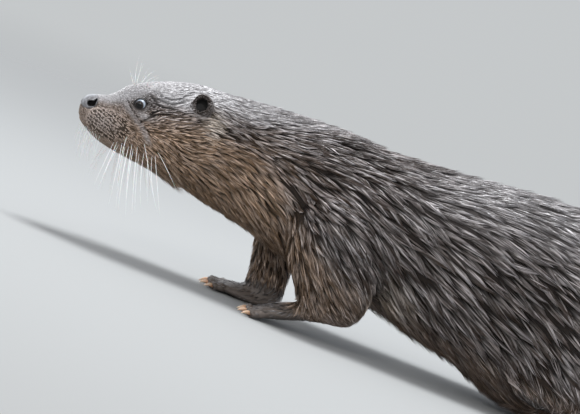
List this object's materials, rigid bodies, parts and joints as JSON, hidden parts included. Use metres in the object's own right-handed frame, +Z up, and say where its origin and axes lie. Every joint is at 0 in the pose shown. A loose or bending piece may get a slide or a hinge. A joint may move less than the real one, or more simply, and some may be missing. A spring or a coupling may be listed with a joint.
{
  "type": "eurasian otter model",
  "caption": "Life-size still model of a wet-coated Eurasian otter in a low crouch, head stretched forward, thick tapering tail laid on the floor.",
  "frame": {"origin": "on the floor, under the middle of the whole animal's bounding box", "axes": "+Z up, the nose points to -X and the tail to +X, the otter's left side faces -Y"},
  "size_m": [1.0726, 0.1862, 0.1889],
  "materials": {
    "coat": "wet dark brown guard hair in pointed locks, grey sheen on the ridges",
    "pale_coat": "short pale brown hair of the chin and throat",
    "paw_skin": "bare grey-brown skin with short sparse hair",
    "nose_skin": "moist pebbled grey nose pad",
    "eyeball": "wet, nearly black brown",
    "claw_horn": "translucent horn"
  },
  "bodies": {
    "root": {"head": "coat", "lower_jaw": "pale_coat", "neck": "coat", "trunk": "coat", "tail_root": "coat", "tail_end": "coat", "foreleg_left": "coat", "foreleg_right": "coat", "hindleg_left": "coat", "hindleg_right": "coat", "ear_left": "coat", "ear_right": "coat", "forepaw_left": "paw_skin", "forepaw_right": "paw_skin", "hindpaw_left": "paw_skin", "hindpaw_right": "paw_skin", "nose": "nose_skin", "eye_left": "eyeball", "eye_right": "eyeball", "foreclaw_left_1": "claw_horn", "foreclaw_left_2": "claw_horn", "foreclaw_left_3": "claw_horn", "foreclaw_left_4": "claw_horn", "foreclaw_left_5": "claw_horn", "foreclaw_right_1": "claw_horn", "foreclaw_right_2": "claw_horn", "foreclaw_right_3": "claw_horn", "foreclaw_right_4": "claw_horn", "foreclaw_right_5": "claw_horn", "hindclaw_left_1": "claw_horn", "hindclaw_left_2": "claw_horn", "hindclaw_left_3": "claw_horn", "hindclaw_left_4": "claw_horn", "hindclaw_left_5": "claw_horn", "hindclaw_right_1": "claw_horn", "hindclaw_right_2": "claw_horn", "hindclaw_right_3": "claw_horn", "hindclaw_right_4": "claw_horn", "hindclaw_right_5": "claw_horn"}
  },
  "joints": []
}
